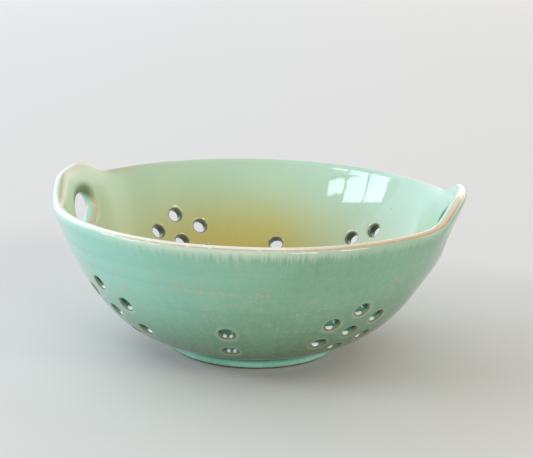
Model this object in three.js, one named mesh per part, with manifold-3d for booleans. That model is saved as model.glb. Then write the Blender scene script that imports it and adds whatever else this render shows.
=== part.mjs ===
// Berry bowl: a wheel-thrown stoneware bowl on a turned foot ring. Its wall and floor are pierced with
// drain holes in flower-shaped groups, and a strap ear bridges a notch at each side of its rim.
// Millimetres, +Z up. The ears stand on the X axis, and the origin is on the table under the middle of the
// bowl's box. The wheel's axis is a little to the left of that, because the rim is out of round.
import * as THREE from "three";
import { mergeVertices } from "three/addons/utils/BufferGeometryUtils.js";
import Module from "manifold-3d";

const wasm = await Module();
wasm.setup();

// Thrown bowl
const RIM_RADIUS = 82; // outside of the lip
const RIM_HEIGHT = 61.5; // table to the top of the lip, between the ears
const LIP_THICKNESS = 4.6; // the lip is rounded over to this thickness
const FLOOR_THICKNESS = 6; // the wall thins from here to the lip
const FLARE_ANGLE = 26; // degrees that the wall leans out from upright at the lip
const FLARE_PULL = 25; // how strongly the flare holds its line below the lip
const SPRING_ANGLE = 12.5; // degrees that the wall rises from flat where it leaves the foot
const SPRING_PULL = 29; // how strongly the wall holds that line before it turns up

// Turned foot ring
const FOOT_RADIUS = 34.2; // outside of the ring where the wall springs from it
const FOOT_HEIGHT = 4.4;
const FOOT_WIDTH = 7; // across the flat top of the ring
const FOOT_BULGE = 1.3; // how far the ring's rounded side swells past its top edge
const TREAD_ROUNDING = 0.8; // the tread is this much narrower at each edge than the flat top

// Strap ears
const EAR_RISE = 7.7; // top of an ear above the lip
const EAR_SPREAD = 26.5; // along the rim, from an ear's middle to where its shoulder has dropped away
const EAR_SQUARENESS = 4; // exponent of the shoulder: higher makes the top flatter
const RIGHT_LEAN = 2; // degrees that the right ear leans out from upright
const LEFT_LEAN = -4; // the left ear leans in a little
const EAR_ROOT = 24; // below the lip, where the wall starts to stretch up into an ear
const STRAP_HALF_WIDTH = 28.6; // along the rim, from an ear's middle to where it is joined to the bowl
const JOINT_GAP = 0.3; // clay joint between a strap and its notch

// Out of round: drawing the ears up also drew the wall under the right one out, and under the left one in
const RIGHT_PULL = 1.7; // outwards, at the middle of the ear
const RIGHT_PULL_START = 29; // height above the table where the wall starts to give
const LEFT_PULL = -1.3;
const LEFT_PULL_START = 43.5;
const PULL_RISE = 18; // height over which a pull grows to its full amount
const PULL_SPREAD = 50; // along the rim, from an ear's middle to where its pull has faded

// Finger slot under each strap: its lower half is the notch in the bowl, its upper half is in the strap
const SLOT_WIDTH = 25;
const SLOT_DROP = 16.5; // lip height down to the bottom of a slot
const RIGHT_SLOT_HEIGHT = 14.5;
const LEFT_SLOT_HEIGHT = 12.7; // the left strap is the deeper one

// Drain holes. Azimuths are in degrees from the right ear, and drops run down the wall from the lip.
const HOLE_DIAMETER = 5.6;
const PETALS = 6;
const WALL_FLOWERS = [
  { azimuth: 48, drop: 37.3, spread: 12.3 },
  { azimuth: 131.5, drop: 36.5, spread: 13 },
  { azimuth: 224, drop: 39.3, spread: 14 },
  { azimuth: 315, drop: 41.2, spread: 12.3 },
];
const PAIR_AZIMUTHS = [0, 90, 180, 271];
const PAIR_DROPS = [39.2, 52.6];
const FLOOR_SPREAD = 12.3; // middle of the floor to each petal of its flower

// Facets
const ROUND_STEPS = 72;
const WALL_STEPS = 11;
const LIP_STEPS = 5;
const FOOT_STEPS = 5;
const HOLE_STEPS = 12;
const SLOT_STEPS = 12;

const radians = THREE.MathUtils.degToRad;
const rightEar = {
  name: "right_ear",
  turn: 0,
  lean: radians(RIGHT_LEAN),
  pull: RIGHT_PULL,
  pullStart: RIGHT_PULL_START,
  slotHeight: RIGHT_SLOT_HEIGHT,
};
const leftEar = {
  name: "left_ear",
  turn: Math.PI,
  lean: radians(LEFT_LEAN),
  pull: LEFT_PULL,
  pullStart: LEFT_PULL_START,
  slotHeight: LEFT_SLOT_HEIGHT,
};
const ears = [rightEar, leftEar];
const glaze = { color: "#86c2a6", roughness: 0.15, metalness: 0 };

// A closed geometry as a solid that can be joined and cut.
function solidOf(geometry) {
  const bare = geometry.index ? geometry.toNonIndexed() : geometry.clone();
  bare.deleteAttribute("normal");
  bare.deleteAttribute("uv");
  const merged = mergeVertices(bare);
  return new wasm.Manifold(
    new wasm.Mesh({
      numProp: 3,
      vertProperties: merged.getAttribute("position").array,
      triVerts: new Uint32Array(merged.index.array),
    }),
  );
}

// A solid as a mesh, moved sideways to its place in the finished bowl.
function meshOf(solid, shift, name, finish) {
  const { vertProperties, triVerts } = solid.translate([shift, 0, 0]).getMesh();
  const geometry = new THREE.BufferGeometry();
  geometry.setAttribute("position", new THREE.BufferAttribute(vertProperties, 3));
  geometry.setIndex(new THREE.BufferAttribute(triVerts, 1));
  geometry.computeVertexNormals();
  const mesh = new THREE.Mesh(geometry, new THREE.MeshStandardMaterial(finish));
  mesh.name = name;
  return mesh;
}

// A profile of (radius, height) points turned round the Z axis.
function turned(profile) {
  return new THREE.LatheGeometry(profile, ROUND_STEPS).rotateX(Math.PI / 2);
}

// The point at a distance and an angle, in radians from the first axis, from another point.
function step(from, angle, distance) {
  return new THREE.Vector2(Math.cos(angle), Math.sin(angle)).multiplyScalar(distance).add(from);
}

// Outside of the wall, from the top of the foot to the start of the rounded lip.
const lipRadius = LIP_THICKNESS / 2;
const lipCentre = new THREE.Vector2(RIM_RADIUS - lipRadius, RIM_HEIGHT - lipRadius);
const flare = Math.PI / 2 - radians(FLARE_ANGLE);
const spring = radians(SPRING_ANGLE);
const wallFoot = new THREE.Vector2(FOOT_RADIUS, FOOT_HEIGHT);
const wallTop = step(lipCentre, flare - Math.PI / 2, lipRadius);
const wallCurve = new THREE.CubicBezierCurve(
  wallFoot,
  step(wallFoot, spring, SPRING_PULL),
  step(wallTop, flare + Math.PI, FLARE_PULL),
  wallTop,
);

// Where the wall is at a share of the way up it: its outside, its inside and the direction between them.
function wallAt(share) {
  const outside = wallCurve.getPointAt(share);
  const along = wallCurve.getTangentAt(share);
  const inward = new THREE.Vector2(-along.y, along.x);
  const thickness = THREE.MathUtils.lerp(FLOOR_THICKNESS, LIP_THICKNESS, share);
  return { outside, inside: outside.clone().addScaledVector(inward, thickness), inward, thickness };
}

// The bowl before it is cut: underside, outer wall, rounded lip, inner wall and floor.
function thrownBowl() {
  const wall = [];
  for (let i = 0; i <= WALL_STEPS; i += 1) {
    wall.push(wallAt(i / WALL_STEPS));
  }
  const lip = [];
  for (let i = 1; i < LIP_STEPS; i += 1) {
    lip.push(step(lipCentre, flare - Math.PI / 2 + (Math.PI * i) / LIP_STEPS, lipRadius));
  }
  const profile = [
    new THREE.Vector2(0, FOOT_HEIGHT),
    ...wall.map((place) => place.outside),
    ...lip,
    ...wall.map((place) => place.inside).reverse(),
    new THREE.Vector2(0, wall[0].inside.y),
  ];
  return turned(profile);
}

// Draws the rim up into an ear at each side. The wall above an ear's root stretches up, and gives in or out.
function raiseEars(bowl) {
  const position = bowl.getAttribute("position");
  for (let i = 0; i < position.count; i += 1) {
    const point = new THREE.Vector3().fromBufferAttribute(position, i);
    const radius = Math.hypot(point.x, point.y);
    const alongRim = Math.atan2(point.y, Math.abs(point.x)) * RIM_RADIUS;
    const shoulder = Math.exp(-((Math.abs(alongRim) / EAR_SPREAD) ** EAR_SQUARENESS));
    const stretch = THREE.MathUtils.smoothstep(point.z, RIM_HEIGHT - EAR_ROOT, RIM_HEIGHT);
    const rise = EAR_RISE * shoulder * stretch;
    const ear = point.x > 0 ? rightEar : leftEar;
    const give = THREE.MathUtils.smoothstep(point.z, ear.pullStart, ear.pullStart + PULL_RISE);
    const pulled = ear.pull * give * Math.exp(-((alongRim / PULL_SPREAD) ** 2));
    const widened = radius > 0 ? 1 + (rise * Math.tan(ear.lean) + pulled) / radius : 1;
    position.setXYZ(i, point.x * widened, point.y * widened, point.z + rise);
  }
  return bowl;
}

// A round upright cutter for one drain hole, long enough to come out of both faces of a wall.
function holeCutter(thickness) {
  const radius = HOLE_DIAMETER / 2;
  return new THREE.CylinderGeometry(radius, radius, 2 * thickness, HOLE_STEPS).rotateX(Math.PI / 2);
}

// A hole through the wall, square to it, at an azimuth and a distance down from the lip.
function wallHole(azimuth, drop) {
  const { outside, inward, thickness } = wallAt(1 - drop / wallCurve.getLength());
  const middle = outside.clone().addScaledVector(inward, thickness / 2);
  const cutter = holeCutter(thickness);
  cutter.rotateY(Math.atan2(inward.x, inward.y));
  cutter.translate(middle.x, 0, middle.y);
  cutter.rotateZ(radians(azimuth));
  return solidOf(cutter);
}

// One hole in the middle and a ring of petals, the first of them straight up the wall.
function wallFlower({ azimuth, drop, spread }) {
  const holes = [wallHole(azimuth, drop)];
  for (let petal = 0; petal < PETALS; petal += 1) {
    const turn = (2 * Math.PI * petal) / PETALS;
    const petalDrop = drop - spread * Math.cos(turn);
    const { outside } = wallAt(1 - petalDrop / wallCurve.getLength());
    const swing = THREE.MathUtils.radToDeg((spread * Math.sin(turn)) / outside.x);
    holes.push(wallHole(azimuth + swing, petalDrop));
  }
  return holes;
}

// The same flower in the middle of the floor, cut straight down.
function floorFlower() {
  const holes = [];
  for (let petal = 0; petal <= PETALS; petal += 1) {
    const spread = petal < PETALS ? FLOOR_SPREAD : 0;
    const turn = (2 * Math.PI * petal) / PETALS;
    const cutter = holeCutter(FLOOR_THICKNESS);
    cutter.translate(spread * Math.cos(turn), spread * Math.sin(turn), FOOT_HEIGHT + FLOOR_THICKNESS / 2);
    holes.push(solidOf(cutter));
  }
  return holes;
}

// Height of the middle of an ear's slot, where its strap is joined to the bowl.
function slotMiddle({ slotHeight }) {
  return RIM_HEIGHT - SLOT_DROP + slotHeight / 2;
}

// An oval cutter from the bowl's axis out through the wall under one ear.
function fingerSlot(ear) {
  const oval = new THREE.Shape().absellipse(0, 0, SLOT_WIDTH / 2, ear.slotHeight / 2, 0, 2 * Math.PI);
  const depth = 2 * RIM_RADIUS;
  const cutter = new THREE.ExtrudeGeometry(oval, { depth, curveSegments: SLOT_STEPS, bevelEnabled: false });
  cutter.rotateX(Math.PI / 2);
  cutter.rotateZ(Math.PI / 2 + ear.turn);
  cutter.translate(0, 0, slotMiddle(ear));
  return solidOf(cutter);
}

// The wedge of rim that one strap fills, from the middle of its slot up, grown by a gap on each joint face.
function strapWedge(ear, gap) {
  const halfAngle = STRAP_HALF_WIDTH / RIM_RADIUS;
  const reach = 2 * RIM_RADIUS;
  const apex = -gap / Math.sin(halfAngle);
  const halfBase = (reach - apex) * Math.tan(halfAngle);
  const wedge = new THREE.Shape();
  wedge.moveTo(apex, 0);
  wedge.lineTo(reach, -halfBase);
  wedge.lineTo(reach, halfBase);
  const block = new THREE.ExtrudeGeometry(wedge, { depth: RIM_HEIGHT + EAR_RISE, bevelEnabled: false });
  block.translate(0, 0, slotMiddle(ear) - gap);
  block.rotateZ(ear.turn);
  return solidOf(block);
}

// The foot ring: flat tread, rounded side, and a flat top that the bowl's underside is joined to.
function footRing() {
  const innerRadius = FOOT_RADIUS - FOOT_WIDTH;
  const treadOuter = FOOT_RADIUS - TREAD_ROUNDING;
  const side = new THREE.CubicBezierCurve(
    new THREE.Vector2(treadOuter, 0),
    new THREE.Vector2(FOOT_RADIUS + FOOT_BULGE, TREAD_ROUNDING),
    new THREE.Vector2(FOOT_RADIUS + FOOT_BULGE, FOOT_HEIGHT - TREAD_ROUNDING),
    wallFoot,
  );
  const profile = [
    new THREE.Vector2(innerRadius + TREAD_ROUNDING, 0),
    ...side.getPoints(FOOT_STEPS),
    new THREE.Vector2(innerRadius, FOOT_HEIGHT),
    new THREE.Vector2(innerRadius, TREAD_ROUNDING),
    new THREE.Vector2(innerRadius + TREAD_ROUNDING, 0),
  ];
  return turned(profile);
}

const cuts = [
  ...WALL_FLOWERS.flatMap(wallFlower),
  ...PAIR_AZIMUTHS.flatMap((azimuth) => PAIR_DROPS.map((drop) => wallHole(azimuth, drop))),
  ...floorFlower(),
  ...ears.map(fingerSlot),
];
const pierced = cuts.reduce((rest, cut) => rest.subtract(cut), solidOf(raiseEars(thrownBowl())));
const body = ears.reduce((rest, ear) => rest.subtract(strapWedge(ear, JOINT_GAP)), pierced);

const box = pierced.boundingBox();
const axisX = -(box.min[0] + box.max[0]) / 2;
const bowl = new THREE.Group();
bowl.name = "berry_bowl";
bowl.add(meshOf(body, axisX, "bowl_body", glaze));
bowl.add(meshOf(solidOf(footRing()), axisX, "foot_ring", glaze));
for (const ear of ears) {
  bowl.add(meshOf(pierced.intersect(strapWedge(ear, 0)), axisX, ear.name, glaze));
}

export default bowl;
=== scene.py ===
import bisect
import math

import bmesh
import bpy
from mathutils import Color, Matrix, Quaternion, Vector, geometry, noise


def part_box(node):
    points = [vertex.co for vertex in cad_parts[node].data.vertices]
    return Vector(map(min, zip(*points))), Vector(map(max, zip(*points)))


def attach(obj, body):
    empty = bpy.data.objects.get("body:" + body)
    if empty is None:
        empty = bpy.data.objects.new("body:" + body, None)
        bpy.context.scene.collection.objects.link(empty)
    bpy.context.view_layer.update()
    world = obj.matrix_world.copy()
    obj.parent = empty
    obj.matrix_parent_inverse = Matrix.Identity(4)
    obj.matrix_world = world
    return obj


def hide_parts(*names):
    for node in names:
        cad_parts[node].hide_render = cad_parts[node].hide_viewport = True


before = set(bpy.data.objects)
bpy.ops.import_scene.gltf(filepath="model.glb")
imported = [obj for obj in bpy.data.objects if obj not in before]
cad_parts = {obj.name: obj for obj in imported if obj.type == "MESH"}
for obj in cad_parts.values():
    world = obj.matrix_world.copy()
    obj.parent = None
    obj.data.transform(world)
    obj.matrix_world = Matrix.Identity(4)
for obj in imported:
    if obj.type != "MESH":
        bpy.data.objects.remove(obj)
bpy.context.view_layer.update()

# Thrown bowl
# The bowl is stoneware, thrown on a wheel with floor and wall in one, and its rim is drawn up into two ears.
# Drain holes were pierced in flower-shaped groups while the clay was leather-hard. A turquoise glaze covers
# it all: it rounds every edge, runs down from the lip in fine streaks and breaks to tan where it is thin.
rim_radius = 0.082
rim_height = 0.0615
lip_thickness = 0.0046
floor_thickness = 0.006
flare_angle = 26  # degrees out from upright at the lip
flare_pull = 0.025  # how far below the lip the wall keeps near that slope
spring_angle = 12.5  # degrees up from level at the foot
spring_pull = 0.029  # how far past the foot the wall keeps near that slope
foot_radius = 0.0342
foot_low, foot_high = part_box("foot_ring")
foot_height = foot_high.z
wheel_axis = ((foot_low.x + foot_high.x) / 2, 0, 0)  # off the box's middle, as the rim is out of round
ear_rise = 0.0077
ear_spread = 0.0265
ear_squareness = 4
ear_root = 0.024  # height of wall below the rim that an ear is drawn up from
pull_rise = 0.018
pull_spread = 0.05
ears = {
    "right": {
        "azimuth": 0.0,
        "mark": 1,
        "lean": math.radians(2),
        "pull": 0.0017,  # how far out of round the wall was pulled, outwards
        "pull_start": 0.029,
        "slot_height": 0.0145,
    },
    "left": {
        "azimuth": -math.pi,
        "mark": 2,
        "lean": math.radians(-4),
        "pull": -0.0013,
        "pull_start": 0.0435,
        "slot_height": 0.0127,
    },
}


def heading(degrees):
    """Direction in the wall's plane of radius and height, turned up from level."""
    turn = math.radians(degrees)
    return Vector((math.cos(turn), math.sin(turn)))


def smooth_share(value, start, end):
    """How far a value has come from start to end, eased at both ends."""
    share = min(max((value - start) / (end - start), 0.0), 1.0)
    return share * share * (3 - 2 * share)


wall_points = 400
lip_middle = Vector((rim_radius - lip_thickness / 2, rim_height - lip_thickness / 2))
wall_foot = Vector((foot_radius, foot_height))
wall_top = lip_middle + heading(-flare_angle) * lip_thickness / 2
wall_line = geometry.interpolate_bezier(
    wall_foot,
    wall_foot + heading(spring_angle) * spring_pull,
    wall_top - heading(90 - flare_angle) * flare_pull,
    wall_top,
    wall_points,
)
wall_marks = [0.0]
for below, above in zip(wall_line, wall_line[1:]):
    wall_marks.append(wall_marks[-1] + (above - below).length)
wall_length = wall_marks[-1]
floor_through = heading(spring_angle + 90) * floor_thickness
floor_turn = 0.014  # width of the floor's edge, where it starts to turn up


def clay_at(climb):
    """Outside of the clay at a distance up the wall from the foot, and the way through it to the inside."""
    if climb < 0:
        turned = smooth_share(climb, -floor_turn, 0)
        return wall_foot + Vector((climb, 0)), Vector((floor_through.x * turned, floor_through.y))
    mark = min(bisect.bisect_right(wall_marks, climb), len(wall_marks) - 1)
    below, above = wall_line[mark - 1], wall_line[mark]
    share = (climb - wall_marks[mark - 1]) / (wall_marks[mark] - wall_marks[mark - 1])
    along = (above - below).normalized()
    thickness = floor_thickness + (lip_thickness - floor_thickness) * climb / wall_length
    return below.lerp(above, share), Vector((-along.y, along.x)) * thickness


# The clay is modelled unrolled: azimuth to the right, climb upwards and depth towards the inside.
columns = 162
wall_rows = 27
floor_rows = 11
seam_column = -94  # where the unrolled clay starts, clear of every opening
column_step = math.tau / columns
row_step = wall_length / wall_rows
lip_start = wall_length - row_step / 100

throw_ring = 0.0085  # rise of the wall for each turn of the wheel
throw_depth = 0.000018
hand_wobble = 0.00018
wobble_around = 2.0  # how closely the wobble follows itself around the bowl
wobble_climb = 0.03  # and how far apart it comes up the wall
height_wobble = Vector((7, 3, 5))  # keeps the wobble in height apart from that in radius
settled_climb = 0.02  # the wall is true where it leaves the foot, and wobbles from here up


def on_bowl(azimuth, climb, depth):
    """The point of the bowl at an azimuth, a climb up its wall and a share of the way through the clay."""
    outside, through = clay_at(climb)
    spot = outside + through * depth
    if climb > lip_start:
        turn = math.pi * depth
        over = Vector((through.y, -through.x)) * math.sin(turn) / 2
        spot = outside + through * (1 - math.cos(turn)) / 2 + over
    radius, height = spot
    ear = ears["right"] if math.cos(azimuth) > 0 else ears["left"]
    from_ear = math.atan2(math.sin(azimuth), abs(math.cos(azimuth))) * rim_radius
    shoulder = math.exp(-((abs(from_ear) / ear_spread) ** ear_squareness))
    rise = ear_rise * shoulder * smooth_share(height, rim_height - ear_root, rim_height)
    pull = ear["pull"] * math.exp(-((from_ear / pull_spread) ** 2))
    pull *= smooth_share(height, ear["pull_start"], ear["pull_start"] + pull_rise)
    settled = smooth_share(climb, 0, settled_climb)
    around = Vector((math.cos(azimuth), math.sin(azimuth), 0)) * wobble_around
    place = around + Vector((0, 0, climb / wobble_climb))
    radius += settled * hand_wobble * noise.noise(place)
    radius += settled * throw_depth * math.sin(math.tau * climb / throw_ring + azimuth)
    height += settled * hand_wobble * noise.noise(place + height_wobble)
    radius += rise * math.tan(ear["lean"]) + pull
    return Vector((radius * math.cos(azimuth), radius * math.sin(azimuth), height + rise))


clay_sheet = bmesh.new()
bmesh.ops.create_grid(clay_sheet, x_segments=columns, y_segments=wall_rows + floor_rows, size=1)
bmesh.ops.translate(clay_sheet, verts=clay_sheet.verts, vec=(1, 1, 0))
sheet_size = (math.pi, row_step * (wall_rows + floor_rows) / 2, 1)
bmesh.ops.scale(clay_sheet, verts=clay_sheet.verts, vec=sheet_size)
sheet_start = (seam_column * column_step, -floor_rows * row_step, 0)
bmesh.ops.translate(clay_sheet, verts=clay_sheet.verts, vec=sheet_start)

# Each ear is the strap of rim over a finger slot, from the slot's middle up. Its faces are marked to come
# away as a piece of their own.
bowl_mark = 0
ear_half_columns = 9
slot_row = 23
for face in clay_sheet.faces:
    middle = face.calc_center_median()
    for ear in ears.values():
        across = abs(middle.x - ear["azimuth"]) < ear_half_columns * column_step
        if across and middle.y > slot_row * row_step:
            face.material_index = ear["mark"]

edge_rings = 6  # steps of an opening's wall, and of the lip, from the outside to the inside
rounded_rings = 2  # those of them that round an edge
opening_number = clay_sheet.verts.layers.float.new("opening_number")
opening_turn = clay_sheet.verts.layers.float.new("opening_turn")
openings = []


def rounded_edge(ring, outer_rounding, inner_rounding, thickness):
    """How much wider an opening is at one of its rings than at its throat, and how far through the clay."""
    turn = min(ring, edge_rings - ring, rounded_rings) / rounded_rings * math.pi / 2
    rounding = outer_rounding if 2 * ring <= edge_rings else inner_rounding
    wider = rounding * (1 - math.sin(turn))
    sunk = rounding * (1 - math.cos(turn)) / thickness
    if 2 * ring == edge_rings:
        sunk = 0.5
    return wider, sunk if 2 * ring <= edge_rings else 1 - sunk


def cut_opening(azimuth, climb, half_columns, half_rows, edge_at):
    """Cuts a block out of the sheet and draws the cut to what edge_at gives for a turn and a ring."""
    column = round(azimuth / column_step)
    row = round(climb / row_step)
    block = []
    for face in clay_sheet.faces:
        middle = face.calc_center_median()
        across = abs(middle.x / column_step - column)
        if across < half_columns and abs(middle.y / row_step - row) < half_rows:
            block.append(face)
    cut = bmesh.ops.inset_region(clay_sheet, faces=block, thickness=row_step / 10)["faces"]
    rim = {vert for face in block for vert in face.verts} & {vert for face in cut for vert in face.verts}

    def turn_of(vert):
        turn = math.atan2(vert.co.y / row_step - row, vert.co.x / column_step - column)
        return (turn + column_step) % math.tau

    openings.append(edge_at)
    for place, vert in enumerate(sorted(rim, key=turn_of)):
        turn = math.tau * place / len(rim)
        vert[opening_number] = len(openings)
        vert[opening_turn] = turn
        vert.co = edge_at(turn, 0)
    bmesh.ops.delete(clay_sheet, geom=block, context="FACES")


hole_radius = 0.00285
hole_rounding = 0.0011
hole_block = 0.0044  # half the width that is cut away for a hole in the floor, at least
hole_half_columns = 2  # and that for a hole in the wall
hole_half_rows = 2


def pierce(azimuth, climb):
    """A drain hole square through the clay."""
    outside, through = clay_at(climb)

    def edge_at(turn, ring):
        wider, depth = rounded_edge(ring, hole_rounding, hole_rounding, through.length)
        reach = hole_radius + wider
        around = reach * math.cos(turn) / (outside + through * depth).x
        return Vector((azimuth + around, climb + reach * math.sin(turn), depth))

    half_columns = hole_half_columns
    if climb < 0:
        half_columns = math.ceil(hole_block / (outside.x * column_step))
    cut_opening(azimuth, climb, half_columns, hole_half_rows, edge_at)


petals = 6
wall_flowers = (
    {"azimuth": 48, "drop": 0.0373, "spread": 0.0123},
    {"azimuth": 131.5, "drop": 0.0365, "spread": 0.013},
    {"azimuth": 224, "drop": 0.0393, "spread": 0.014},
    {"azimuth": 315, "drop": 0.0412, "spread": 0.0123},
)
pair_azimuths = (0, 90, 180, 271)
pair_drops = (0.0392, 0.0526)
floor_spread = 0.0123


def on_sheet(degrees):
    """An azimuth in radians, in the turn that the unrolled clay covers."""
    start = seam_column * column_step
    return (math.radians(degrees) - start) % math.tau + start


for flower in wall_flowers:
    pierce(on_sheet(flower["azimuth"]), wall_length - flower["drop"])
    for petal in range(petals):
        turn = math.tau * petal / petals
        climb = wall_length - flower["drop"] + flower["spread"] * math.cos(turn)
        swing = flower["spread"] * math.sin(turn) / clay_at(climb)[0].x
        pierce(on_sheet(flower["azimuth"] + math.degrees(swing)), climb)
for degrees in pair_azimuths:
    for drop in pair_drops:
        pierce(on_sheet(degrees), wall_length - drop)
for petal in range(petals):
    pierce(on_sheet(360 * petal / petals), floor_spread - foot_radius)
hole_count = len(openings)

slot_width = 0.025
slot_bottom = rim_height - 0.0165
slot_rounding = 0.0012
slot_inner_rounding = 0.0021
slot_half_columns = 6
slot_half_rows = 3
slot_tries = 14  # steps in which a point of the slot's edge finds its place on the wall
height_per_climb = 1.2  # about what an ear's wall gains in height for its climb, with the ear's own rise


def cut_slot(ear):
    """A finger slot: an oval cut level through the rim, square to the line between the ears."""
    half_height = ear["slot_height"] / 2

    def edge_at(turn, ring):
        wider, depth = rounded_edge(ring, slot_rounding, slot_inner_rounding, lip_thickness)
        across = (slot_width / 2 + wider) * math.cos(turn)
        height = slot_bottom + half_height + (half_height + wider) * math.sin(turn)
        swing = 0.0
        climb = slot_row * row_step
        for _ in range(slot_tries):
            point = on_bowl(ear["azimuth"] + swing, climb, depth)
            swing = math.asin(across / point.xy.length)
            climb += (height - point.z) / height_per_climb
        return Vector((ear["azimuth"] + swing, climb, depth))

    cut_opening(ear["azimuth"], slot_row * row_step, slot_half_columns, slot_half_rows, edge_at)


for ear in ears.values():
    cut_slot(ear)

# The rest of the sheet evens out between the openings before it gets its thickness, with its seam left open.
evening_passes = 30
free = [vert for vert in clay_sheet.verts if not vert.is_boundary]
for _ in range(evening_passes):
    bmesh.ops.smooth_vert(clay_sheet, verts=free, factor=0.5, use_axis_x=True, use_axis_y=True)
whole_sheet = [*clay_sheet.verts, *clay_sheet.edges, *clay_sheet.faces]
lifted = bmesh.ops.extrude_face_region(clay_sheet, geom=whole_sheet, use_keep_orig=True)["geom"]
inner_face = [part for part in lifted if isinstance(part, bmesh.types.BMVert)]
bmesh.ops.translate(clay_sheet, verts=inner_face, vec=(0, 0, 1))
sheet_middle = seam_column * column_step + math.pi
seam_ends = []
for face in clay_sheet.faces:
    if all(abs(abs(vert.co.x - sheet_middle) - math.pi) < column_step / 10 for vert in face.verts):
        seam_ends.append(face)
bmesh.ops.delete(clay_sheet, geom=seam_ends, context="FACES")
thickness_edges = [edge for edge in clay_sheet.edges if abs(edge.verts[0].co.z - edge.verts[1].co.z) > 0.5]
bmesh.ops.subdivide_edges(clay_sheet, edges=thickness_edges, cuts=edge_rings - 1, use_grid_fill=True)

# The sheet is rolled up. For the glaze to read, each point keeps how far it lies below the lip and how deep
# in the clay, and on an opening how thin the glaze is, how high on its edge and whether it is a finger slot.
lip_drop = clay_sheet.verts.layers.float.new("lip_drop")
clay_depth = clay_sheet.verts.layers.float.new("clay_depth")
thin_glaze = clay_sheet.verts.layers.float.new("thin_glaze")
edge_height = clay_sheet.verts.layers.float.new("edge_height")
finger_slot = clay_sheet.verts.layers.float.new("finger_slot")
thinness = (0.5, 1.0, 0.45, 0.0)  # of the glaze on each ring, from a face of the clay to the throat
join_distance = 0.00001
for vert in clay_sheet.verts:
    azimuth, climb, depth = vert.co
    ring = round(depth * edge_rings)
    centre_edge = climb < row_step / 10 - floor_rows * row_step
    if vert[opening_number] > 0.5:
        azimuth, climb, depth = openings[round(vert[opening_number]) - 1](vert[opening_turn], ring)
        vert[thin_glaze] = thinness[min(ring, edge_rings - ring)]
        vert[edge_height] = math.sin(vert[opening_turn])
        vert[finger_slot] = 1.0 if vert[opening_number] > hole_count + 0.5 else 0.0
    elif centre_edge:
        wider, depth = rounded_edge(ring, hole_rounding, hole_rounding, floor_thickness)
        climb = hole_radius + wider - foot_radius
        vert[thin_glaze] = thinness[min(ring, edge_rings - ring)]
    past_lip = abs(depth - 0.5) if climb > lip_start else 0.5
    vert[lip_drop] = wall_length - climb + past_lip * math.pi * lip_thickness / 2
    vert[clay_depth] = depth
    vert.co = on_bowl(azimuth, climb, depth)
bmesh.ops.translate(clay_sheet, verts=clay_sheet.verts, vec=wheel_axis)
bmesh.ops.remove_doubles(clay_sheet, verts=clay_sheet.verts, dist=join_distance)
bmesh.ops.recalc_face_normals(clay_sheet, faces=clay_sheet.faces)
for face in clay_sheet.faces:
    face.smooth = True

thrown_clay = bpy.data.objects.new("thrown_clay", bpy.data.meshes.new("thrown_clay"))
clay_sheet.to_mesh(thrown_clay.data)
clay_sheet.free()
bpy.context.scene.collection.objects.link(thrown_clay)
rounding = thrown_clay.modifiers.new("rounding", "SUBSURF")
rounding.levels = 1
rounding.render_levels = 1
rounded = thrown_clay.evaluated_get(bpy.context.evaluated_depsgraph_get())
rounded_clay = bpy.data.meshes.new_from_object(rounded)
bpy.data.objects.remove(thrown_clay)
skin_normals = [component for normal in rounded_clay.vertex_normals for component in normal.vector]
rounded_clay.attributes.new("skin_normal", "FLOAT_VECTOR", "POINT").data.foreach_set("vector", skin_normals)


def clay_piece(name, mark, finish):
    """The part of the thrown clay with one mark, closed where it joins the next part under the glaze."""
    part = bmesh.new()
    part.from_mesh(rounded_clay)
    others = [face for face in part.faces if face.material_index != mark]
    bmesh.ops.delete(part, geom=others, context="FACES")
    open_edges = [edge for edge in part.edges if edge.is_boundary]
    for edge in open_edges:
        edge.smooth = False
    joints = bmesh.ops.holes_fill(part, edges=open_edges)["faces"]
    joints = set(bmesh.ops.triangulate(part, faces=joints)["faces"])
    bmesh.ops.recalc_face_normals(part, faces=part.faces)
    skin_normal = part.verts.layers.float_vector["skin_normal"]
    normals = []
    for face in part.faces:
        face.material_index = 0
        face.smooth = True
        for vert in face.verts:
            normals.append(face.normal.copy() if face in joints else vert[skin_normal].copy())
    mesh = bpy.data.meshes.new(name)
    part.to_mesh(mesh)
    part.free()
    mesh.normals_split_custom_set(normals)
    mesh.materials.append(finish)
    piece = bpy.data.objects.new(name, mesh)
    bpy.context.scene.collection.objects.link(piece)
    return piece


def tint(code):
    """Linear colour from its code on a colour card."""
    parts = [int(code[start:start + 2], 16) / 255 for start in (1, 3, 5)]
    return (*Color(parts).from_srgb_to_scene_linear(), 1.0)


def wire(tree, source, socket):
    """Feeds a socket from another socket, or sets it to a value."""
    if isinstance(source, bpy.types.NodeSocket):
        tree.links.new(source, socket)
    else:
        socket.default_value = source


def reckon(tree, operation, *values):
    """What one operation makes of some values."""
    step = tree.nodes.new("ShaderNodeMath")
    step.operation = operation
    for value, socket in zip(values, step.inputs):
        wire(tree, value, socket)
    return step.outputs[0]


def reckon_place(tree, operation, *places):
    """What one operation makes of some places."""
    step = tree.nodes.new("ShaderNodeVectorMath")
    step.operation = operation
    for place, socket in zip(places, step.inputs):
        wire(tree, place, socket)
    return step.outputs[0]


def object_place(tree):
    """Where a point lies on the object."""
    return tree.nodes.new("ShaderNodeTexCoord").outputs["Object"]


def split(tree, place):
    """A place as X, from left to right, Y, from front to back, and Z."""
    step = tree.nodes.new("ShaderNodeSeparateXYZ")
    wire(tree, place, step.inputs[0])
    return step.outputs


def ease(tree, value, start, end):
    """0 at start, 1 at end, eased between them."""
    step = tree.nodes.new("ShaderNodeMapRange")
    step.interpolation_type = "SMOOTHSTEP"
    wire(tree, value, step.inputs["Value"])
    wire(tree, start, step.inputs["From Min"])
    wire(tree, end, step.inputs["From Max"])
    return step.outputs["Result"]


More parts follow.
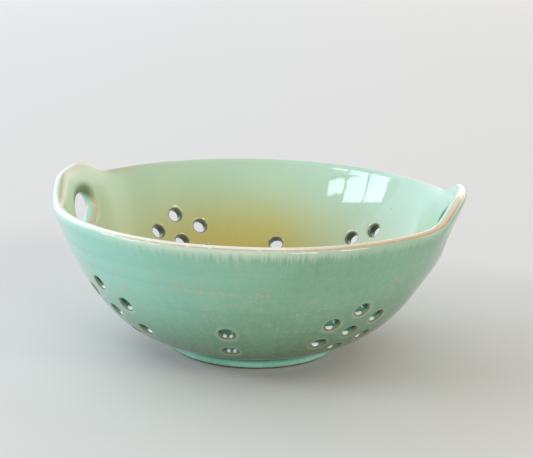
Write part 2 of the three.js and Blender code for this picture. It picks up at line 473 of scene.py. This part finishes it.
def overlap(tree, *masks):
    """Where all of the masks are, as the product of their shares."""
    share = masks[0]
    for mask in masks[1:]:
        share = reckon(tree, "MULTIPLY", share, mask)
    return share


def add_share(tree, base, mask, amount):
    """A value with an amount more where a mask is, or less if the amount is negative."""
    return reckon(tree, "MULTIPLY_ADD", mask, amount, base)


def apart(tree, value, middle, reach):
    """How far a value lies from a middle, squared, and 1 at its reach."""
    offset = reckon(tree, "MULTIPLY_ADD", value, 1 / reach, -middle / reach)
    return reckon(tree, "MULTIPLY", offset, offset)


def cover(tree, share, under, over):
    """One colour laid over another, by a share."""
    under_socket, over_socket, result_socket = 6, 7, 2  # the node's sockets for colours
    step = tree.nodes.new("ShaderNodeMix")
    step.data_type = "RGBA"
    wire(tree, share, step.inputs[0])
    wire(tree, under, step.inputs[under_socket])
    wire(tree, over, step.inputs[over_socket])
    return step.outputs[result_socket]


def coat(tree, under, over, *masks, strength=1.0):
    """A colour, or its code, laid over another where all of the masks are, up to a strength."""
    share = overlap(tree, *masks)
    if strength < 1:
        share = reckon(tree, "MULTIPLY", share, strength)
    return cover(tree, share, under, tint(over) if isinstance(over, str) else over)


def cloud(tree, place, scale, detail, roughness):
    """A cloudy pattern, by how fine it is, how many finer ones it holds and how strong those are."""
    step = tree.nodes.new("ShaderNodeTexNoise")
    wire(tree, place, step.inputs["Vector"])
    wire(tree, scale, step.inputs["Scale"])
    wire(tree, detail, step.inputs["Detail"])
    wire(tree, roughness, step.inputs["Roughness"])
    return step.outputs["Fac"]


def dots(tree, place, scale, channel, chance, outline, middle):
    """Round dots in the few cells of a pattern that draw a number over the chance."""
    cells = tree.nodes.new("ShaderNodeTexVoronoi")
    wire(tree, place, cells.inputs["Vector"])
    wire(tree, scale, cells.inputs["Scale"])
    draw = tree.nodes.new("ShaderNodeSeparateColor")
    wire(tree, cells.outputs["Color"], draw.inputs[0])
    chosen = reckon(tree, "GREATER_THAN", draw.outputs[channel], chance)
    return overlap(tree, ease(tree, cells.outputs["Distance"], start=outline, end=middle), chosen)


def flattened(tree, place, flatness):
    """Places at which a pattern comes out longer along the wall than up it."""
    return reckon_place(tree, "MULTIPLY", place, (1.0, 1.0, flatness))


def new_effect(name, amounts, results):
    """An empty node group with its inputs and outputs, to be drawn up by the effect that uses it."""
    tree = bpy.data.node_groups.new(name, "ShaderNodeTree")
    for title, value in amounts.items():
        socket = tree.interface.new_socket(title, in_out="INPUT", socket_type="NodeSocketFloat")
        socket.default_value = value
    for title in results:
        tree.interface.new_socket(title, in_out="OUTPUT", socket_type="NodeSocketFloat")
    inputs = tree.nodes.new("NodeGroupInput").outputs
    outputs = tree.nodes.new("NodeGroupOutput").inputs
    return tree, object_place(tree), inputs, outputs


def use_effect(tree, effect, **amounts):
    """An effect placed in a material with amounts of its own."""
    step = tree.nodes.new("ShaderNodeGroup")
    step.node_tree = effect
    for title, value in amounts.items():
        wire(tree, value, step.inputs[title])
    return step.outputs


def glaze_runs():
    """Streaks that run straight down the wall, alike at every height."""
    tree, place, amounts, results = new_effect("glaze_runs", {"Closeness": 900.0, "Stretch": 0.08}, ["Runs"])
    outward = reckon_place(tree, "NORMALIZE", reckon_place(tree, "MULTIPLY", place, (1.0, 1.0, 0.0)))
    around = reckon_place(tree, "MULTIPLY", outward, (rim_radius, rim_radius, rim_radius))
    down = tree.nodes.new("ShaderNodeCombineXYZ")
    wire(tree, reckon(tree, "MULTIPLY", split(tree, place)["Z"], amounts["Stretch"]), down.inputs["Z"])
    strip = reckon_place(tree, "ADD", around, down.outputs[0])
    wire(tree, cloud(tree, strip, amounts["Closeness"], detail=2.5, roughness=0.6), results["Runs"])
    return tree


def glaze_clouds():
    """Broad patches where the glaze lies thicker or thinner, and a fine mottle."""
    mottle_finer = 14.0
    tree, place, amounts, results = new_effect("glaze_clouds", {"Breadth": 30.0}, ["Thick", "Mottle"])
    wire(tree, cloud(tree, place, amounts["Breadth"], detail=2.0, roughness=0.5), results["Thick"])
    mottle_scale = reckon(tree, "MULTIPLY", amounts["Breadth"], mottle_finer)
    wire(tree, cloud(tree, place, mottle_scale, detail=4.0, roughness=0.65), results["Mottle"])
    return tree


def kiln_flecks():
    """Drifts of fine flecks where the clay shows through, and sparse specks of iron."""
    fewest_limit = 0.66
    limit_per_amount = -0.3
    fleck_softness = 0.12
    tree, place, amounts, results = new_effect("kiln_flecks", {"Amount": 0.5}, ["Flecks", "Specks"])
    drift = cloud(tree, flattened(tree, place, 3.0), scale=75.0, detail=2.0, roughness=0.55)
    grain = cloud(tree, flattened(tree, place, 1.5), scale=1150.0, detail=2.0, roughness=0.6)
    limit = add_share(tree, fewest_limit, amounts["Amount"], limit_per_amount)
    broken = ease(tree, grain, start=limit, end=reckon(tree, "ADD", limit, fleck_softness))
    wire(tree, overlap(tree, ease(tree, drift, start=0.5, end=0.67), broken), results["Flecks"])
    specks = dots(tree, place, scale=120.0, channel="Red", chance=0.9, outline=0.06, middle=0.02)
    wire(tree, specks, results["Specks"])
    return tree


def throwing_lines():
    """Level lines left in the clay by the fingers, where the glaze lies a little deeper."""
    line_flatness = 60.0
    tree, place, amounts, results = new_effect("throwing_lines", {"Closeness": 6.0}, ["Lines"])
    level = flattened(tree, place, line_flatness)
    wire(tree, cloud(tree, level, amounts["Closeness"], detail=3.0, roughness=0.6), results["Lines"])
    return tree


def glaze_skin():
    """The faint ripple and pinholes of a glaze that melted and set."""
    pinhole_depth = -0.5
    tree, place, amounts, results = new_effect("glaze_skin", {"Ripple": 160.0}, ["Height"])
    ripple = cloud(tree, place, amounts["Ripple"], detail=2.0, roughness=0.45)
    pinholes = dots(tree, place, scale=420.0, channel="Green", chance=0.93, outline=0.16, middle=0.04)
    wire(tree, add_share(tree, ripple, pinholes, pinhole_depth), results["Height"])
    return tree


runs_effect = glaze_runs()
clouds_effect = glaze_clouds()
flecks_effect = kiln_flecks()
lines_effect = throwing_lines()
skin_effect = glaze_skin()


def surface_value(tree, name):
    """A value that the mesh carries at each point."""
    step = tree.nodes.new("ShaderNodeAttribute")
    step.attribute_name = name
    return step.outputs["Fac"]


def new_finish(name):
    """A new material, its node tree and the sockets of its surface."""
    finish = bpy.data.materials.new(name)
    finish.use_nodes = True
    return finish, finish.node_tree, finish.node_tree.nodes["Principled BSDF"].inputs


def uneven_normal(tree, height, distance):
    """The way that an uneven surface faces, from its height."""
    step = tree.nodes.new("ShaderNodeBump")
    wire(tree, distance, step.inputs["Distance"])
    wire(tree, height, step.inputs["Height"])
    return step.outputs["Normal"]


def turquoise_glaze():
    """Turquoise outside and amber inside, pale or tan where it is thin over an edge."""
    finish, tree, surface = new_finish("turquoise_glaze")
    drop = surface_value(tree, "lip_drop")
    depth = surface_value(tree, "clay_depth")
    edge = surface_value(tree, "thin_glaze")
    up_edge = surface_value(tree, "edge_height")
    slot = surface_value(tree, "finger_slot")
    hole = reckon(tree, "SUBTRACT", 1.0, slot)
    side = split(tree, object_place(tree))["X"]
    left_side = ease(tree, side, start=0.03, end=-0.07)
    clouds = use_effect(tree, clouds_effect, Breadth=28.0)
    runs = use_effect(tree, runs_effect, Closeness=1300.0, Stretch=0.05)
    flecks = use_effect(tree, flecks_effect, Amount=0.5)
    skin = use_effect(tree, skin_effect, Ripple=150.0)
    lines = use_effect(tree, lines_effect, Closeness=6.0)
    thick = ease(tree, clouds["Thick"], start=0.35, end=0.65)
    fine = ease(tree, clouds["Mottle"], start=0.3, end=0.7)
    streak = ease(tree, runs["Runs"], start=0.25, end=0.75)

    # Outside, the glaze is paler to the left, as painted light from that side, with a painted sheen at the
    # far left. Painted shade darkens it down the wall, more to the lower right, and most by the foot. It
    # deepens in the throwing lines, and flecks of clay show through at mid height.
    # Painted light: the glaze is paler to the left, where light falls from that side.
    outside = cover(tree, left_side, tint("#75a485"), tint("#92d4c4"))
    # Painted sheen: a pale wash over the glaze at the far left edge.
    left_edge_sheen = ease(tree, side, start=-0.05, end=-0.08)
    outside = coat(tree, outside, "#d0dcd4", left_edge_sheen, strength=0.6)
    outside = coat(tree, outside, "#93c7b0", thick, strength=0.3)
    # Painted shade: the glaze darkens down the wall, with a painted olive reflection to the lower right.
    low = ease(tree, drop, start=0.016, end=0.07)
    outside = coat(tree, outside, "#466a43", low, strength=0.95)
    to_right = ease(tree, side, start=0.005, end=0.05)
    outside = coat(tree, outside, "#3c5a26", low, to_right, strength=0.3)
    deep = ease(tree, lines["Lines"], start=0.45, end=0.75)
    outside = coat(tree, outside, "#55825f", deep, strength=0.13)
    # Painted shade: darkest just above the foot, under the overhang of the wall.
    foot_shade = ease(tree, drop, start=wall_length - 0.015, end=wall_length + 0.001)
    outside = coat(tree, outside, "#212a1a", foot_shade, strength=0.95)
    below_runs = ease(tree, drop, start=0.01, end=0.016)
    above_holes = ease(tree, drop, start=0.05, end=0.03)
    outside = coat(tree, outside, "#b7a68d", flecks["Flecks"], below_runs, above_holes, strength=0.8)

    # Inside, it is amber towards the floor, partly pooled glaze and partly a painted warm reflection.
    # Painted light and sheen keep the amber off the right and by the left ear, and make the inside a little
    # bluer to the right.
    # Painted light: the inside is a little bluer to the right.
    inside = cover(tree, left_side, tint("#b4d4c1"), tint("#b6d0b2"))
    inside = coat(tree, inside, "#bddabb", thick, strength=0.3)
    # Painted light and sheen keep the amber off the right and by the left ear; the amber itself is partly
    # glaze.
    off_right = add_share(tree, 1.0, ease(tree, side, start=-0.01, end=0.035), amount=-0.62)
    off_left_ear = add_share(tree, 1.0, ease(tree, side, start=-0.03, end=-0.065), amount=-0.4)
    amber_pool_and_reflection = overlap(tree, off_right, off_left_ear, ease(tree, drop, start=0.006, end=0.041))
    inside = coat(tree, inside, "#c0b763", amber_pool_and_reflection)
    deepest = ease(tree, drop, start=0.033, end=0.06)
    inside = coat(tree, inside, "#dcac4e", amber_pool_and_reflection, deepest, strength=0.75)
    colour = cover(tree, ease(tree, depth, start=0.35, end=0.65), outside, inside)
    colour = coat(tree, colour, "#cfd6bd", fine, strength=0.08)
    colour = coat(tree, colour, "#cfd6bd", streak, strength=0.05)

    # A pale band of runs hangs from the lip. The crest of the lip is cream, tan at the right, with a thin
    # tan line along its outside and along the inside of the left ear.
    band_width = 0.0035
    run_length = 0.006
    outer = ease(tree, depth, start=0.5, end=0.46)
    band = ease(tree, drop, start=add_share(tree, band_width, streak, run_length), end=0.0015)
    off_left = add_share(tree, 1.0, ease(tree, side, start=-0.025, end=-0.055), amount=-0.8)
    off_right = add_share(tree, 1.0, ease(tree, side, start=0.03, end=0.06), amount=-0.6)
    patches = add_share(tree, 0.25, clouds["Thick"], amount=0.8)
    colour = coat(tree, colour, "#c6d0ba", band, outer, off_left, off_right, patches)
    on_left_ear = ease(tree, side, start=-0.055, end=-0.08)
    crest = ease(tree, drop, start=0.0018, end=0.0004)
    off_left_ear = add_share(tree, 0.9, on_left_ear, amount=-0.35)
    right_lip = overlap(
        tree, ease(tree, side, start=0.015, end=0.05), ease(tree, side, start=0.081, end=0.075)
    )
    crest_colour = coat(tree, tint("#ece6d4"), "#e2c7a4", right_lip)
    colour = coat(tree, colour, crest_colour, crest, off_left_ear)
    inner_line = overlap(
        tree, ease(tree, drop, start=0.0012, end=0.002), ease(tree, drop, start=0.0042, end=0.0028),
        ease(tree, depth, start=0.54, end=0.62),
    )
    colour = coat(tree, colour, "#c9ae90", inner_line, on_left_ear, strength=0.55)
    outer_line = overlap(
        tree, ease(tree, drop, start=0.0003, end=0.0006), ease(tree, drop, start=0.0014, end=0.0009), outer
    )
    patchy = ease(tree, clouds["Mottle"], start=0.26, end=0.52)
    off_left = add_share(tree, 1.0, ease(tree, side, start=-0.015, end=-0.055), amount=-0.8)
    colour = coat(tree, colour, "#b08d74", outer_line, patchy, off_left, strength=0.6)

    # Each opening has a paler rim. A hole breaks to brown along its edge; painted shade darkens its throat
    # to deep green, darkest at the top, and painted white glints sit in it: one at the bottom, or two in the
    # pairs at front and back.
    pale_rim = ease(tree, edge, start=0.1, end=0.55)
    colour = coat(tree, colour, "#bcc4a8", pale_rim, strength=0.25)
    # Painted shade: the throat of a hole is dark green, darkest away from its bottom.
    throat = overlap(
        tree, ease(tree, depth, start=0.06, end=0.22), ease(tree, depth, start=0.94, end=0.78),
        ease(tree, drop, start=0.004, end=0.006),
    )
    throat_bottom = ease(tree, up_edge, start=0.1, end=-0.7)
    hole_shade = coat(tree, tint("#123a2b"), "#48836a", throat_bottom)
    colour = coat(tree, colour, hole_shade, throat, hole, strength=0.9)
    # Painted shade: the throat of the right slot is dark green; that of the left slot is pale.
    slot_shade = coat(tree, tint("#3d8268"), "#b5dcc8", left_side)
    colour = coat(tree, colour, slot_shade, throat, slot, strength=0.9)
    # Painted highlights: white glints low in each hole's throat, one, or two side by side in the pairs.
    bottom_reach = 0.238
    in_throat = apart(tree, depth, middle=0.242, reach=0.1613)
    off_bottom = reckon(tree, "MULTIPLY_ADD", up_edge, 1 / bottom_reach, 1 / bottom_reach)
    off_sides = apart(tree, up_edge, middle=-0.866, reach=0.122)
    one_glint = ease(tree, reckon(tree, "ADD", off_bottom, in_throat), start=1.0, end=0.45)
    two_glints = ease(tree, reckon(tree, "ADD", off_sides, in_throat), start=1.0, end=0.45)
    in_pairs = ease(tree, reckon(tree, "ABSOLUTE", side), start=0.016, end=0.01)
    off_pairs = reckon(tree, "SUBTRACT", 1.0, in_pairs)
    painted_glints = reckon(tree, "ADD", overlap(tree, two_glints, in_pairs), overlap(tree, one_glint, off_pairs))
    colour = coat(tree, colour, "#f4fbfa", painted_glints, hole, strength=0.95)
    broken = overlap(
        tree, ease(tree, edge, start=0.66, end=0.93), ease(tree, clouds["Mottle"], start=0.25, end=0.5)
    )
    colour = coat(tree, colour, "#74523d", broken, hole, strength=0.85)

    # The edges of the finger slots are tan, but painted shade makes them dark green on the upper edge of the
    # right slot and under the strap of the left ear.
    # Painted shade on the upper edge of the right slot.
    upper_edge = ease(tree, up_edge, start=-0.45, end=0.0)
    right_edge = coat(tree, tint("#d0c0a2"), "#3d8268", upper_edge)
    slot_edge_colour = coat(tree, right_edge, "#d0c0a2", left_side)
    slot_edge = ease(tree, edge, start=0.5, end=0.8)
    colour = coat(tree, colour, slot_edge_colour, slot_edge, slot, strength=0.8)
    # Painted shade under the strap of the left ear.
    under_strap = overlap(
        tree, ease(tree, up_edge, start=0.1, end=0.95), ease(tree, depth, start=0.3, end=0.6)
    )
    colour = coat(tree, colour, "#4c7350", under_strap, slot, left_side, strength=0.9)
    colour = coat(tree, colour, "#7c8050", flecks["Specks"], strength=0.6)
    wire(tree, colour, surface["Base Color"])

    # It is glossy, but satin inside by the ears and duller where it broke over an edge.
    gloss = add_share(tree, 0.03, clouds["Mottle"], amount=0.06)
    by_left_ear = ease(tree, side, start=-0.035, end=-0.055)
    by_right_ear = ease(tree, side, start=0.056, end=0.068)
    by_ears = reckon(tree, "ADD", by_left_ear, by_right_ear)
    satin = overlap(tree, by_ears, ease(tree, depth, start=0.6, end=0.9))
    gloss = add_share(tree, gloss, satin, amount=0.15)
    gloss = add_share(tree, gloss, broken, amount=0.12)
    wire(tree, gloss, surface["Roughness"])

    # Between the ears, the inside of the wall is slightly hollow below the lip.
    hollow_height = 0.03
    hollow_easing = 0.02
    hollow_bend = 5.5
    ripple_height = 0.00006
    shallow = reckon(tree, "SMOOTH_MIN", drop, hollow_height, hollow_easing)
    below_rim = reckon(tree, "SUBTRACT", shallow, hollow_height)
    within = ease(tree, depth, start=0.6, end=0.95)
    off_left_ear = ease(tree, side, start=-0.045, end=-0.005)
    off_right_ear = ease(tree, side, start=0.074, end=0.06)
    hollow = overlap(tree, shallow, below_rim, within, off_left_ear, off_right_ear)
    height = reckon(tree, "MULTIPLY", skin["Height"], ripple_height)
    height = add_share(tree, height, hollow, hollow_bend)
    wire(tree, uneven_normal(tree, height, distance=1.0), surface["Normal"])
    return finish


glaze = turquoise_glaze()
bowl = clay_piece("thrown_bowl", bowl_mark, glaze)
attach(bowl, "root")
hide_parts("bowl_body")

# Strap ears
# Each ear is a strap of the same clay that bridges a notch in the rim and leaves a finger slot under it. Its
# ends are worked into the rim, and the glaze runs over the joint without a line.
for side, ear in ears.items():
    strap = clay_piece(side + "_strap_ear", ear["mark"], glaze)
    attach(strap, "root")
    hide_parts(side + "_ear")

# Foot ring
# The foot is a ring of stoneware turned on the wheel and joined under the bowl. Its side swells into a bead
# with a satin glaze, and its tread is wiped bare, so a thin line of red-brown clay shows above the table.
foot_width = 0.007
foot_bulge = 0.0013
tread_rounding = 0.0008
glaze_line = 0.0007  # height at which the glaze stops above the tread
glaze_step = 0.00025  # thickness of the glaze at that line
bead_points = 12
foot_turns = 144
glaze_line_slack = 1.01  # for faces that lie level with the line

inner_radius = foot_radius - foot_width
tread_edge = foot_radius - tread_rounding
bead = geometry.interpolate_bezier(
    Vector((tread_edge + glaze_step, glaze_line)),
    Vector((foot_radius + foot_bulge, glaze_line + tread_rounding / 2)),
    Vector((foot_radius + foot_bulge, foot_height - tread_rounding)),
    wall_foot,
    bead_points,
)
tread = [
    Vector((inner_radius, tread_rounding)),
    Vector((inner_radius + tread_rounding / 3, tread_rounding / 3)),
    Vector((inner_radius + tread_rounding, 0)),
    Vector((tread_edge - tread_rounding / 2, 0)),
    Vector((tread_edge - tread_rounding / 8, glaze_line / 4)),
    Vector((tread_edge, glaze_line)),
]
top = [Vector((inner_radius, foot_height))]
foot_mesh = bmesh.new()
outline = [foot_mesh.verts.new((point.x, 0, point.y)) for point in tread + bead + top]
sides = [foot_mesh.edges.new(pair) for pair in zip(outline, outline[1:] + outline[:1])]
bmesh.ops.spin(
    foot_mesh, geom=outline + sides, cent=(0, 0, 0), axis=(0, 0, 1),
    angle=math.tau, steps=foot_turns, use_merge=True,
)
bmesh.ops.recalc_face_normals(foot_mesh, faces=foot_mesh.faces)
for face in foot_mesh.faces:
    face.smooth = True
    middle = face.calc_center_median()
    wiped = middle.z < glaze_line * glaze_line_slack and middle.xy.length > inner_radius
    face.material_index = 1 if wiped else 0
bmesh.ops.translate(foot_mesh, verts=foot_mesh.verts, vec=wheel_axis)
foot_ring = bpy.data.objects.new("turned_foot", bpy.data.meshes.new("turned_foot"))
foot_mesh.to_mesh(foot_ring.data)
foot_mesh.free()
bpy.context.scene.collection.objects.link(foot_ring)


def foot_glaze():
    """The same glaze, thinner and satin, with painted shade on its upper part under the bowl."""
    finish, tree, surface = new_finish("foot_glaze")
    clouds = use_effect(tree, clouds_effect, Breadth=60.0)
    flecks = use_effect(tree, flecks_effect, Amount=0.3)
    skin = use_effect(tree, skin_effect, Ripple=220.0)
    thick = ease(tree, clouds["Thick"], start=0.35, end=0.65)
    colour = cover(tree, thick, tint("#84c7ae"), tint("#9dd7c3"))
    # Painted shade: the upper part of the bead is darker under the bowl's overhang.
    height = split(tree, object_place(tree))["Z"]
    upper = ease(tree, height, start=foot_height * 0.5, end=foot_height * 0.95)
    colour = coat(tree, colour, "#4a8a68", upper, strength=0.75)
    colour = coat(tree, colour, "#66703c", flecks["Specks"])
    wire(tree, colour, surface["Base Color"])
    wire(tree, add_share(tree, 0.22, clouds["Mottle"], amount=0.1), surface["Roughness"])
    wire(tree, uneven_normal(tree, skin["Height"], distance=0.0001), surface["Normal"])
    return finish


def bare_clay():
    """Red-brown stoneware, rough and flecked."""
    finish, tree, surface = new_finish("bare_clay")
    clouds = use_effect(tree, clouds_effect, Breadth=150.0)
    flecks = use_effect(tree, flecks_effect, Amount=0.7)
    fine = ease(tree, clouds["Mottle"], start=0.3, end=0.7)
    colour = cover(tree, fine, tint("#5c3626"), tint("#9c664a"))
    colour = coat(tree, colour, "#7d4a35", clouds["Thick"], strength=0.5)
    colour = coat(tree, colour, "#b98a6c", flecks["Flecks"])
    colour = coat(tree, colour, "#3f2a20", flecks["Specks"])
    wire(tree, colour, surface["Base Color"])
    wire(tree, add_share(tree, 0.7, clouds["Mottle"], amount=0.15), surface["Roughness"])
    wire(tree, uneven_normal(tree, clouds["Mottle"], distance=0.0003), surface["Normal"])
    return finish


foot_ring.data.materials.append(foot_glaze())
foot_ring.data.materials.append(bare_clay())
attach(foot_ring, "root")
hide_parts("foot_ring")

# Stage, light and camera
# The floor is plain and pale. A window of three panes stands at the left front, and two slim panes stand at
# the right front. Large soft lights fill in from the left, low in front and behind, under an even sky.
floor_reach = 6.0
floor_mesh = bmesh.new()
bmesh.ops.create_grid(floor_mesh, x_segments=1, y_segments=1, size=floor_reach)
floor = bpy.data.objects.new("floor", bpy.data.meshes.new("floor"))
floor_mesh.to_mesh(floor.data)
floor_mesh.free()
bpy.context.scene.collection.objects.link(floor)
floor_finish, floor_tree, floor_surface = new_finish("floor")
wire(floor_tree, tint("#d8d5d0"), floor_surface["Base Color"])
wire(floor_tree, 0.8, floor_surface["Roughness"])
floor.data.materials.append(floor_finish)

sky = bpy.data.worlds.new("sky")
sky.use_nodes = True
sky_light = sky.node_tree.nodes["Background"].inputs
wire(sky.node_tree, tint("#f6f5f2"), sky_light["Color"])
wire(sky.node_tree, 0.6, sky_light["Strength"])
bpy.context.scene.world = sky

lamp_distance = 4.0


def soft_light(name, degrees, rise, width, height, colour, radiance, roll=0):
    """A soft rectangle of light, placed in degrees: its turn left of the front, rise, size and roll."""
    turn = math.radians(degrees)
    lift = math.radians(rise)
    towards = Vector((-math.sin(turn) * math.cos(lift), -math.cos(turn) * math.cos(lift), math.sin(lift)))
    light = bpy.data.lights.new(name, "AREA")
    light.shape = "RECTANGLE"
    light.size = 2 * lamp_distance * math.tan(math.radians(width / 2))
    light.size_y = 2 * lamp_distance * math.tan(math.radians(height / 2))
    light.color = tint(colour)[:3]
    light.energy = radiance * math.pi * light.size * light.size_y
    lamp = bpy.data.objects.new(name, light)
    lamp.location = towards * lamp_distance
    turned = towards.to_track_quat("Z", "Y") @ Quaternion((0, 0, 1), math.radians(roll))
    lamp.rotation_euler = turned.to_euler()
    bpy.context.scene.collection.objects.link(lamp)


window_panes = (
    {"degrees": 50.8, "rise": 32.3, "width": 9.3, "height": 7.3, "roll": 22},
    {"degrees": 65.3, "rise": 30.0, "width": 12.2, "height": 11.5, "roll": 24},
    {"degrees": 79.3, "rise": 24.9, "width": 12.0, "height": 9.5, "roll": 28},
)
for number, pane in enumerate(window_panes):
    soft_light("pane_%d" % number, colour="#e4eeff", radiance=10.5, **pane)
soft_light("side_light", degrees=130, rise=25, width=70, height=50, colour="#d6e9ff", radiance=1.15)
soft_light("side_glow", degrees=115, rise=30, width=60, height=44, colour="#d0e6ff", radiance=0.9)
soft_light("low_fill", degrees=30, rise=9, width=100, height=18, colour="#eef8ff", radiance=1.6)
soft_light("warm_wall", degrees=-150, rise=15.5, width=80, height=31, colour="#fff4ea", radiance=1.25)
soft_light("front_pane", degrees=-37, rise=24, width=12, height=8, colour="#fffaf2", radiance=15.0)
soft_light("right_pane", degrees=-65, rise=24, width=16, height=7, colour="#fffaf2", radiance=15.0)

camera_place = Vector((0.0845 + wheel_axis[0], -0.511, 0.1785))
camera_aim = Vector((-0.1495, 0.9581, -0.2443)).normalized()
camera_roll = math.radians(1.5)
camera_sensor = 36
camera_lens = 89.03
level = camera_aim.cross(Vector((0, 0, 1))).normalized()
upward = level.cross(camera_aim)
camera_right = level * math.cos(camera_roll) + upward * math.sin(camera_roll)
camera_up = upward * math.cos(camera_roll) - level * math.sin(camera_roll)
camera = bpy.data.objects.new("camera", bpy.data.cameras.new("camera"))
camera.data.sensor_width = camera_sensor
camera.data.lens = camera_lens
facing = Matrix((camera_right, camera_up, -camera_aim)).transposed()
camera.matrix_world = Matrix.Translation(camera_place) @ facing.to_4x4()
bpy.context.scene.collection.objects.link(camera)
bpy.context.scene.camera = camera
bpy.context.scene.view_settings.view_transform = "Standard"
